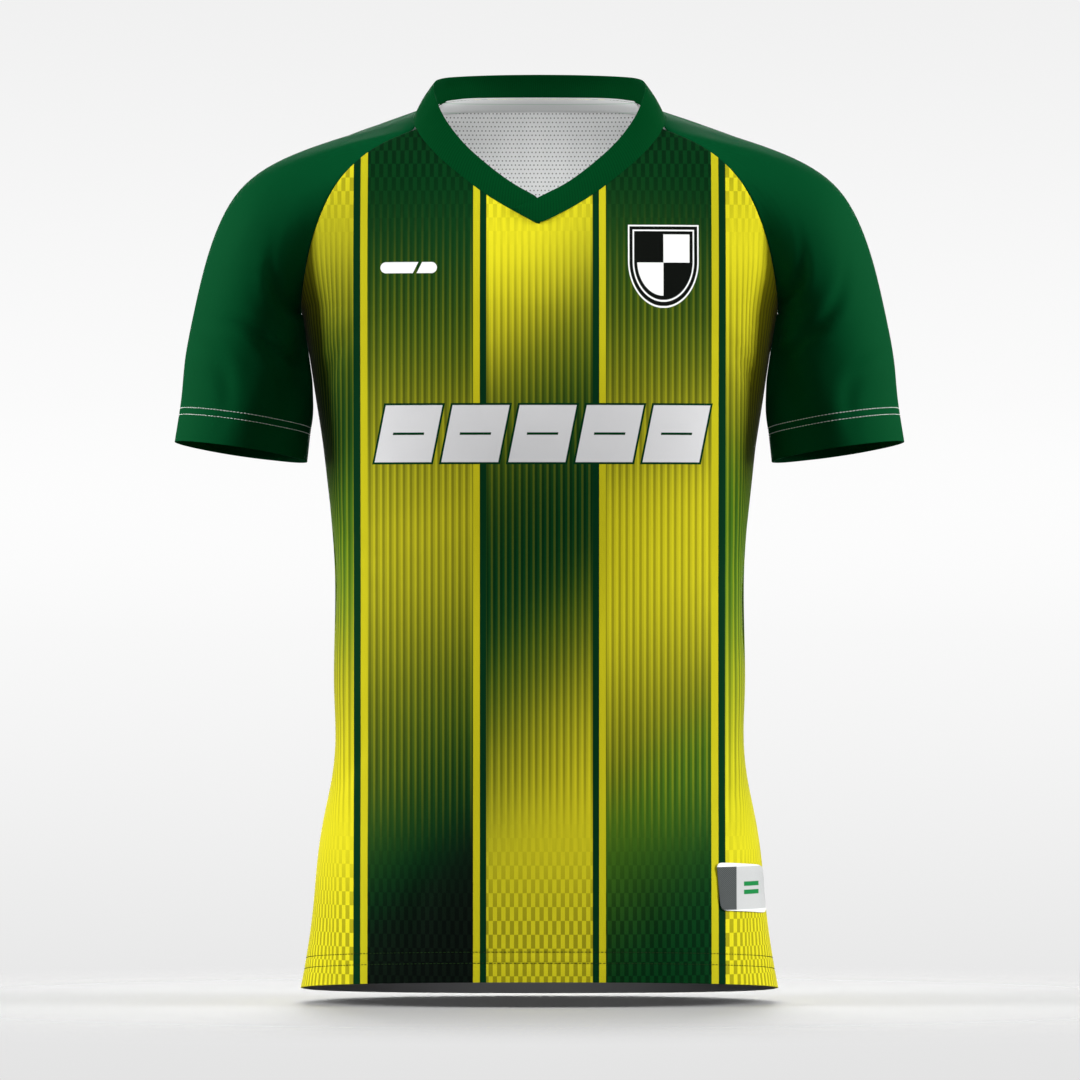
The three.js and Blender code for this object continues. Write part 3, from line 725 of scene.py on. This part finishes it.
# %% Make the materials
GREEN_SHEEN = (0.12, 0.7, 0.35, 1)
SLEEVE_GREEN = (0.0002, 0.056, 0.015, 1)
WHITE_THREAD = (0.62, 0.66, 0.62, 1)
DARK_THREAD = (0.012, 0.03, 0.008, 1)
MATERIALS = {
    "front": cloth_material("printed_front", printed_with_marks, GAUGE),
    "back": cloth_material("printed_back", printed, GAUGE),
    "sleeve": cloth_material("green_knit", SLEEVE_GREEN, GAUGE, tint=GREEN_SHEEN, shine=0.02),
    "collar": cloth_material("green_rib", ribbed, 0.9 * MM, bump=0.3, tint=GREEN_SHEEN, shine=0.01),
    "inside": cloth_material("white_mesh", perforated, 0.8 * MM, roughness=0.8, bump=0.2),
    "tape": cloth_material("grey_tape", taped, 0.4 * MM),
    "label": cloth_material("plain_label", plain_label, 0.3 * MM, roughness=0.4, sheen=0.0),
    "white_thread": cloth_material("white_thread", WHITE_THREAD, 0.25 * MM, bump=0.4),
    "dark_thread": cloth_material("dark_thread", DARK_THREAD, 0.25 * MM, bump=0.4),
}

floor_material = bpy.data.materials.new("pale_floor")
floor_material.use_nodes = True
paint = Wiring(floor_material.node_tree)
floor_place = paint.split(paint.make("ShaderNodeTexCoord").outputs["Object"])
radius = paint.far(floor_place[0], floor_place[1])
kept = paint.between(radius, FLOOR_FADE[1], FLOOR_FADE[0])
underside = paint.make("ShaderNodeNewGeometry").outputs["Backfacing"]
shown = paint.times(kept, paint.minus(FLOOR_OPACITY, underside))
surface = {"Base Color": FLOOR_GREY, "Roughness": FLOOR_ROUGHNESS, "Alpha": shown}
paint.join(floor_material.node_tree.nodes["Principled BSDF"], surface)
floor_mesh.materials.append(floor_material)

# %% [markdown]
# ## From a thick wall to a smooth sheet
#
# A solid's wall has an outer and an inner face and a rim between them. Splitting the mesh at its
# sharp rim edges leaves the outer face as the largest island. Sharp edges within that face were
# split as well, so its doubles are merged again. Joined back into quads and subdivided, it is a
# smooth sheet that lies exactly where the solid does.

# %% Take the outer face of a wall
RIM_ANGLES = {"front": math.radians(62), "back": math.radians(62)}
RIM_ANGLE = math.radians(40)
FLAT_ENOUGH = math.radians(60)
WELD = 0.02 * MM
SMOOTHING = 2


def islands(mesh):
    """The separate groups of faces of a mesh."""
    waiting = set(mesh.faces)
    while waiting:
        group = []
        found = [waiting.pop()]
        while found:
            face = found.pop()
            group.append(face)
            near = {other for side in face.edges for other in side.link_faces} & waiting
            waiting -= near
            found.extend(near)
        yield group


def outer_face(node):
    """The outer face of a node's wall, as a bmesh of quads."""
    wall = bmesh.new()
    wall.from_mesh(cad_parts[node].data)
    bmesh.ops.remove_doubles(wall, verts=wall.verts, dist=WELD)
    limit = RIM_ANGLES.get(node, RIM_ANGLE)
    sharp = [edge for edge in wall.edges if edge.is_manifold and edge.calc_face_angle() > limit]
    bmesh.ops.split_edges(wall, edges=sharp)
    groups = sorted(islands(wall), key=lambda group: sum(face.calc_area() for face in group))
    rest = [face for group in groups[:-1] for face in group]
    bmesh.ops.delete(wall, geom=rest, context="FACES")
    bmesh.ops.remove_doubles(wall, verts=wall.verts, dist=WELD)
    bmesh.ops.join_triangles(
        wall,
        faces=wall.faces,
        angle_face_threshold=FLAT_ENOUGH,
        angle_shape_threshold=FLAT_ENOUGH,
    )
    return wall


def new_piece(name, mesh):
    piece = bpy.data.objects.new(name, mesh)
    bpy.context.scene.collection.objects.link(piece)
    return piece


def apply_modifiers(piece):
    """Makes the modifiers of a piece part of its mesh."""
    drawn = piece.evaluated_get(bpy.context.evaluated_depsgraph_get())
    mesh = bpy.data.meshes.new_from_object(drawn)
    piece.modifiers.clear()
    piece.data = mesh


def smooth_sheet(node):
    """The outer face of a node, subdivided, as a bmesh that can be worked on further."""
    wall = outer_face(node)
    mesh = bpy.data.meshes.new(node)
    wall.to_mesh(mesh)
    wall.free()
    draft = new_piece(node, mesh)
    finer = draft.modifiers.new("finer", "SUBSURF")
    finer.levels = finer.render_levels = SMOOTHING
    finer.boundary_smooth = "PRESERVE_CORNERS"
    apply_modifiers(draft)
    sheet = bmesh.new()
    sheet.from_mesh(draft.data)
    bpy.data.objects.remove(draft)
    sheet.normal_update()
    return sheet


# %% [markdown]
# ## Creases
#
# The solids hold the large folds. Knit cloth that stands this full has a few finer ones: short soft
# troughs with a lip on each side, where the cloth pulls at the underarm and buckles at the waist and
# hip. Each is placed with its own lean, bend and size, and no two are alike.

# %% The table of creases
# Lengths here are in millimetres, "x" and "z" are of the crease's middle, and "lean" is in degrees.
CREASE_PARTS = ("face", "x", "z", "lean", "bend", "long", "wide", "deep")
CREASES = {
    "front": [
        ("front", 140, -556, 42, 2.0, 40, 7, 2.4),
        ("front", 149, -586, 50, 1.2, 30, 6, 1.8),
        ("front", 118, -530, 36, 1.4, 34, 8, 1.4),
        ("front", -150, -344, -38, 1.6, 30, 6, 2.0),
        ("front", -143, -372, -30, 1.0, 26, 5.5, 1.4),
        ("front", -146, -520, 24, -1.8, 38, 7, 1.8),
        ("front", 150, -372, 33, -1.4, 34, 6.5, 1.7),
        ("front", -162, -196, 28, 1.5, 30, 6, 2.0),
        ("front", 163, -204, -31, -1.6, 33, 6.5, 2.0),
        ("front", -96, -636, 9, 0.8, 44, 11, 1.4),
        ("front", 84, -648, -12, -0.7, 40, 12, 1.2),
    ],
    "back": [
        ("back", -70, -372, 38, 1.4, 52, 8, 3.0),
        ("back", 62, -398, -44, -1.2, 58, 9, 3.2),
        ("back", -28, -438, 62, 0.8, 46, 7.5, 2.5),
        ("back", 22, -470, -66, 0.6, 50, 8.5, 2.7),
        ("back", -112, -476, 30, 1.6, 44, 7.5, 2.5),
        ("back", 118, -502, -26, -1.9, 48, 8, 2.4),
        ("back", -148, -214, 36, 1.2, 34, 6.5, 2.4),
        ("back", 151, -224, -33, -1.3, 38, 7, 2.2),
        ("back", -60, -120, -72, 0.5, 60, 10, 1.7),
        ("back", 48, -150, 76, -0.4, 66, 11, 1.5),
        ("back", 96, -622, 8, 0.9, 50, 10, 1.8),
    ],
    "left": [
        ("front", 203, -142, 36, -1.6, 25, 6, 3.9),
        ("front", 228, -165, 45, -1.2, 27, 6.5, 3.4),
        ("front", 206, -186, 52, 1.0, 22, 5.5, 2.9),
        ("front", 250, -214, 30, 1.2, 26, 8, 1.8),
        ("back", 204, -150, 40, -1.4, 30, 6.5, 3.9),
        ("back", 214, -188, 50, 1.1, 28, 6, 3.1),
        ("back", 244, -176, 34, 1.4, 36, 8, 2.3),
    ],
    "right": [
        ("front", -206, -150, -34, 1.5, 28, 6.5, 3.6),
        ("front", -219, -184, -46, -1.3, 26, 6, 3.4),
        ("front", -200, -199, -55, 0.8, 20, 5.5, 2.6),
        ("front", -253, -205, -27, -1.1, 28, 8, 1.8),
        ("back", -207, -146, -38, 1.2, 32, 7, 3.9),
        ("back", -211, -194, -51, -1.2, 26, 6, 3.0),
        ("back", -246, -170, -31, -1.2, 38, 8.5, 2.3),
    ],
}
LIP = 1.5  # how far a crease's raised lips reach, against its trough
TURN_FADE = 2  # how soon a crease reaches its full depth as the cloth turns to face it


def crease(sheet, table):
    """Presses the creases of a table into a sheet, along its normals."""
    sheet.normal_update()
    folds = [dict(zip(CREASE_PARTS, row)) for row in table]
    moves = []
    for vertex in sheet.verts:
        depth = 0.0
        for fold in folds:
            facing = vertex.normal.y * (-1 if fold["face"] == "front" else 1)
            if facing <= 0:
                continue
            lean = math.radians(fold["lean"])
            dx = vertex.co.x / MM - fold["x"]
            dz = vertex.co.z / MM - fold["z"]
            along = (dz * math.cos(lean) + dx * math.sin(lean)) / fold["long"]
            across = (dx * math.cos(lean) - dz * math.sin(lean)) / fold["wide"] - fold["bend"] * along**2
            trough = (1 - across**2) * math.exp(-(across**2) / LIP)
            depth += fold["deep"] * trough * math.exp(-(along**2)) * min(1, TURN_FADE * facing)
        moves.append(depth * MM)
    for vertex, depth in zip(sheet.verts, moves):
        vertex.co -= vertex.normal * depth


# %% [markdown]
# ## Hems, rows and seams
#
# Hems and cuffs are turned up once and sewn down with a twin needle. A level cut through the sheet
# gives a line of edges that runs exactly where a needle would. The cloth is pressed in a little
# along it, and the thread is laid in that groove. At the seams the edges of the sheets roll inwards.

# %% Cut rows and roll edges
GROOVE = {"half": 1.7 * MM, "deep": 0.35 * MM}
ROLL = {"in": 0.6 * MM, "row_down": 0.12 * MM, "edge_down": 0.5 * MM, "reach": 0.4 * MM}
SEAM_ABOVE = 3 * MM  # a boundary lower than this above a hem's plane is the hem's own edge
ON_PLANE = 0.001 * MM


def above(co, plane):
    """How far a place is above a plane."""
    return (co - plane["at"]).dot(plane["up"])


def cut_line(sheet, plane, height):
    """Cuts a sheet level with a plane and some way above it, and returns the cut's vertices."""
    cut = bmesh.ops.bisect_plane(
        sheet,
        geom=sheet.verts[:] + sheet.edges[:] + sheet.faces[:],
        plane_co=plane["at"] + plane["up"] * height,
        plane_no=plane["up"],
        dist=ON_PLANE,
    )
    return [part for part in cut["geom_cut"] if isinstance(part, bmesh.types.BMVert)]


def in_order(line):
    """The vertices of a cut, one after another, and whether they close into a ring."""
    members = set(line)
    near = {}
    for vertex in line:
        others = [edge.other_vert(vertex) for edge in vertex.link_edges]
        near[vertex] = [other for other in others if other in members]
    ends = [vertex for vertex in line if len(near[vertex]) == 1]
    chain = [ends[0] if ends else line[0]]
    seen = {chain[0]}
    while True:
        onward = [vertex for vertex in near[chain[-1]] if vertex not in seen]
        if not onward:
            return chain, not ends
        chain.append(onward[0])
        seen.add(onward[0])


def sewn_row(sheet, plane, height):
    """Presses a groove into a sheet, and returns the thread's path and facing."""
    cut_line(sheet, plane, height - GROOVE["half"])
    cut_line(sheet, plane, height + GROOVE["half"])
    line = cut_line(sheet, plane, height)
    sheet.normal_update()
    chain, closed = in_order(line)
    facing = [vertex.normal.copy() for vertex in chain]
    for vertex, out in zip(chain, facing):
        vertex.co -= out * GROOVE["deep"]
    places = [vertex.co.copy() for vertex in chain]
    if closed:
        places.append(places[0])
        facing.append(facing[0])
    return places, facing


def edge_of(sheet):
    """Each vertex of a sheet's boundary that an edge leads inwards from, and the way off the sheet."""
    for vertex in sheet.verts:
        inner = [edge.other_vert(vertex) for edge in vertex.link_edges if not edge.is_boundary]
        if vertex.is_boundary and inner:
            yield vertex, (vertex.co - inner[0].co).normalized()


def roll_edges(sheet, plane):
    """Adds a narrow row of faces round a sheet, and rolls it in at the seams above the hem."""
    bmesh.ops.inset_region(
        sheet,
        faces=sheet.faces[:],
        thickness=ROLL["in"],
        use_boundary=True,
        use_even_offset=False,
    )
    sheet.normal_update()
    rim = {vertex for vertex in sheet.verts if vertex.is_boundary}
    row = {edge.other_vert(vertex) for vertex in rim for edge in vertex.link_edges} - rim
    steps = {}
    for vertex, outward in edge_of(sheet):
        if above(vertex.co, plane) > SEAM_ABOVE:
            steps[vertex] = outward * ROLL["reach"] - vertex.normal * ROLL["edge_down"]
    for vertex in row:
        if above(vertex.co, plane) > SEAM_ABOVE:
            steps[vertex] = -vertex.normal * ROLL["row_down"]
    for vertex, step in steps.items():
        vertex.co += step


# %% [markdown]
# ## From a sheet to a finished piece
#
# The sheet gets its own map, across and up in metres, and then its thickness. A vertex group makes
# it twice as thick where a hem or cuff is turned up. The cut edges are rounded with a small bevel.

# %% Map a sheet and give it its thickness
HEM_DEEP = 24 * MM  # how far a hem or cuff is turned up
EDGE_ROUND = 0.3 * MM
EDGE_ANGLE = math.radians(55)


def finished(sheet, node, name, thick, finishes, place, hem=None):
    """Makes a piece of a sheet: its map, thickness, rounded edges, finishes and what it rides on."""
    mesh = bpy.data.meshes.new(name)
    area = sum(face.calc_area() for face in sheet.faces)
    sheet.to_mesh(mesh)
    sheet.free()
    mesh.shade_smooth()
    piece = new_piece(name, mesh)
    layer = mesh.uv_layers.new(name="cloth")
    spots = [place(vertex.co) for vertex in mesh.vertices]
    for corner, spot in zip(mesh.loops, layer.data):
        spot.uv = spots[corner.vertex_index]
    for finish in finishes:
        mesh.materials.append(MATERIALS[finish])

    layers = piece.vertex_groups.new(name="layers")
    for vertex in mesh.vertices:
        double = hem is not None and above(vertex.co, hem) < HEM_DEEP
        layers.add([vertex.index], 1.0 if double else 0.5, "REPLACE")
    shell = piece.modifiers.new("thickness", "SOLIDIFY")
    shell.thickness = 2 * thick
    shell.vertex_group = "layers"
    shell.offset = -1
    shell.material_offset = 1
    shell.material_offset_rim = 0
    edges = piece.modifiers.new("rounded_edges", "BEVEL")
    edges.width = EDGE_ROUND
    edges.segments = 2
    edges.limit_method = "ANGLE"
    edges.angle_limit = EDGE_ANGLE
    apply_modifiers(piece)
    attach(piece, "root")
    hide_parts(node)
    print(name, len(piece.data.polygons), "faces,", round(area, 4), "square metres")
    return piece


# %% [markdown]
# ## Front and back
#
# The map of the body panels runs straight across the middle of the print and then along the cloth
# round each side, so that the outer stripes don't stretch where the body turns away.

# %% Shape the body panels
CLOTH = 0.8 * MM
STRAIGHT = 0.15  # half width of the print that is mapped straight across
TURN = 18 * MM  # how far past that the map goes over to following the cloth round the side
TURN_LINE = {"within": 4 * MM, "degree": 7}  # the smooth line that the turn starts from
UNDERARM = {"middle": -158.8 * MM, "reach": 6 * MM, "passes": 8}  # rows of narrow faces, eased out
HEM = {
    "at": Vector((0, 0, -700.5 * MM)),
    "up": Vector((0, 9.0, 134.0)).normalized(),  # the hem is high in front and low behind
}
HEM_ROWS = (15 * MM, 23.8 * MM)


def body_map(sheet):
    """A function that gives a place on a body panel's cloth."""
    near = [vertex.co for vertex in sheet.verts if abs(abs(vertex.co.x) - STRAIGHT) < TURN_LINE["within"]]
    turn = np.polyfit([co.z for co in near], [co.y for co in near], TURN_LINE["degree"])

    def place(co):
        if abs(co.x) <= STRAIGHT:
            return co.x, co.z
        out = abs(co.x) - STRAIGHT
        round_side = math.hypot(out, co.y - float(np.polyval(turn, co.z)))
        beyond = out + min(1.0, out / TURN) ** 2 * (round_side - out)
        return math.copysign(STRAIGHT + beyond, co.x), co.z

    return place


def ease_underarm(sheet):
    """Smooths the rows of narrow faces that a sheet has level with the underarm."""
    inner = [vertex for vertex in sheet.verts if not vertex.is_boundary]
    rows = [vertex for vertex in inner if abs(vertex.co.z - UNDERARM["middle"]) < UNDERARM["reach"]]
    axes = {"use_axis_x": True, "use_axis_y": True, "use_axis_z": True}
    for _ in range(UNDERARM["passes"]):
        bmesh.ops.smooth_vert(sheet, verts=rows, factor=0.5, **axes)


body = {}
hem_paths = []
for panel in ("front", "back"):
    sheet = smooth_sheet(panel)
    ease_underarm(sheet)
    place = body_map(sheet)
    crease(sheet, CREASES[panel])
    roll_edges(sheet, HEM)
    for height in HEM_ROWS:
        hem_paths.append(sewn_row(sheet, HEM, height))
    body[panel] = finished(sheet, panel, f"{panel}_cloth", CLOTH, (panel, "inside"), place, HEM)

# %% [markdown]
# ## Sleeves
#
# A sleeve is one tube. The solid keeps a few millimetres clear of the body below the underarm, but
# real cloth leans against it there, so each sleeve is laid on the body panels it comes close to.

# %% Shape the sleeves
CUFF = {"at": (238.5 * MM, -11 * MM, -272 * MM), "up": (-0.1495, 0.0588, 1.0)}  # the left one
CUFF_ROWS = (21.5 * MM, 26.9 * MM)
SLEEVE_ROUND = 0.06  # the radius that turns an angle round the sleeve into metres of cloth
LEAN = {"from": -163 * MM, "reach": 9 * MM, "gap": 0.5 * MM, "full": -215 * MM, "none": -262 * MM}


def mirrored(place, side):
    return Vector((place[0] * side, place[1], place[2]))


def lean_on_body(sheet, panels):
    """Moves the cloth that is close to the body panels until it all but touches them."""
    surfaces = [BVHTree.FromObject(panel, bpy.context.evaluated_depsgraph_get()) for panel in panels]
    for vertex in sheet.verts:
        if vertex.is_boundary or vertex.co.z > LEAN["from"]:
            continue
        hits = [surface.find_nearest(vertex.co, LEAN["reach"]) for surface in surfaces]
        hits = [hit for hit in hits if hit[0] is not None]
        if not hits:
            continue
        spot, _, _, distance = min(hits, key=lambda hit: hit[3])
        share = np.interp(vertex.co.z, [LEAN["none"], LEAN["full"]], [0, 1])
        near = 1 - (distance / LEAN["reach"]) ** 2
        step = max(0.0, distance - LEAN["gap"]) * share * near
        vertex.co += (spot - vertex.co).normalized() * step


def sleeve_map(middle, side):
    """A function that gives a place on a sleeve's cloth."""

    def place(co):
        turn = math.atan2(co.y - middle.y, (co.x - middle.x) * side)
        return turn * SLEEVE_ROUND, co.z

    return place


cuff_paths = []
for name, side in (("left", 1), ("right", -1)):
    node = f"sleeve_{name}"
    cuff = {"at": mirrored(CUFF["at"], side), "up": mirrored(CUFF["up"], side).normalized()}
    sheet = smooth_sheet(node)
    crease(sheet, CREASES[name])
    lean_on_body(sheet, body.values())
    roll_edges(sheet, cuff)
    for height in CUFF_ROWS:
        cuff_paths.append(sewn_row(sheet, cuff, height))
    place = sleeve_map(cuff["at"], side)
    finished(sheet, node, f"{node}_cloth", CLOTH, ("sleeve", "sleeve"), place, cuff)

# %% [markdown]
# ## Collar, tape and label
#
# The collar is a folded rib band, so its ribs run across it, from the seam to the free edge. Its map
# goes round by the angle from the middle of the neck, which keeps them square to the band.

# %% Shape the collar, the tape and the label
RIB = 0.9 * MM
THIN = 0.35 * MM
NECK_GIRTH = 0.56
OVERLAP = {"out": 0.9 * MM, "up": 0.2 * MM}  # how far the collar's seam edge laps over the panels
TAPE_UP = 1.8 * MM  # how far the tape's upper edge is raised, to hide the seam


def neck_map(co):
    return math.atan2(co.x, -co.y) / (2 * math.pi) * NECK_GIRTH, co.z


def flat_map(centre):
    """A function that gives a place on a small piece, measured from its middle."""

    def place(co):
        return co.x - centre.x, co.z - centre.z

    return place


sheet = smooth_sheet("collar")
for vertex, outward in edge_of(sheet):
    if outward.z < 0:
        vertex.co += outward * OVERLAP["out"] + vertex.normal * OVERLAP["up"]
collar = finished(sheet, "collar", "collar_band", RIB, ("collar", "collar"), neck_map)

for node, finish in (("neck_tape", "tape"), ("hem_label", "label")):
    sheet = smooth_sheet(node)
    low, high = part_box(node)
    for vertex, outward in edge_of(sheet):
        if node == "neck_tape" and outward.z > 0:
            vertex.co.z += TAPE_UP
    place = flat_map((Vector(low) + Vector(high)) / 2)
    finished(sheet, node, f"{node}_cloth", THIN, (finish, finish), place)

# %% [markdown]
# ## Stitches
#
# Each stitch is a short rounded length of thread. One operator call makes the first. Its copies are
# stretched and turned to lie along the rows, and all the stitches of a kind are one mesh.

# %% Sew the rows
STITCHES = {
    "cuff": {"pitch": 2.9 * MM, "long": 2.7 * MM, "thick": 0.75 * MM, "finish": "white_thread"},
    "hem": {"pitch": 3.2 * MM, "long": 2.6 * MM, "thick": 0.6 * MM, "finish": "dark_thread"},
}
STITCH_OUT = 0.3  # how far a stitch's middle stands out of the cloth, against its thickness


def along(places, facing, pitch):
    """Evenly spaced places on a path, with the way on and the way out at each."""
    lengths = [0.0]
    for start, end in zip(places, places[1:]):
        lengths.append(lengths[-1] + (end - start).length)
    count = round(lengths[-1] / pitch)
    step = 0
    for k in range(count):
        wanted = lengths[-1] * (k + 0.5) / count
        while lengths[step + 1] < wanted:
            step += 1
        share = (wanted - lengths[step]) / (lengths[step + 1] - lengths[step])
        spot = places[step].lerp(places[step + 1], share)
        onward = (places[step + 1] - places[step]).normalized()
        yield spot, onward, facing[step].lerp(facing[step + 1], share)


def sew(name, paths, pitch, long, thick, finish):
    """One mesh of all the stitches along some paths."""
    ball = bmesh.new()
    bmesh.ops.create_uvsphere(ball, u_segments=8, v_segments=5, radius=0.5)
    stitch = bpy.data.meshes.new("stitch")
    ball.to_mesh(stitch)
    ball.free()
    size = Matrix.Diagonal((long, thick, thick, 1))
    thread = bmesh.new()
    for places, facing in paths:
        for spot, onward, out in along(places, facing, pitch):
            sideways = out.cross(onward).normalized()
            out = onward.cross(sideways)
            turn = Matrix((onward, sideways, out)).transposed().to_4x4()
            one = stitch.copy()
            one.transform(Matrix.Translation(spot + out * thick * STITCH_OUT) @ turn @ size)
            thread.from_mesh(one)
            bpy.data.meshes.remove(one)
    mesh = bpy.data.meshes.new(name)
    thread.to_mesh(mesh)
    thread.free()
    mesh.shade_smooth()
    mesh.materials.append(MATERIALS[finish])
    piece = new_piece(name, mesh)
    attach(piece, "root")
    print(name, len(mesh.polygons), "faces")
    return piece


cuff_stitches = sew("cuff_stitches", cuff_paths, **STITCHES["cuff"])
hem_stitches = sew("hem_stitches", hem_paths, **STITCHES["hem"])
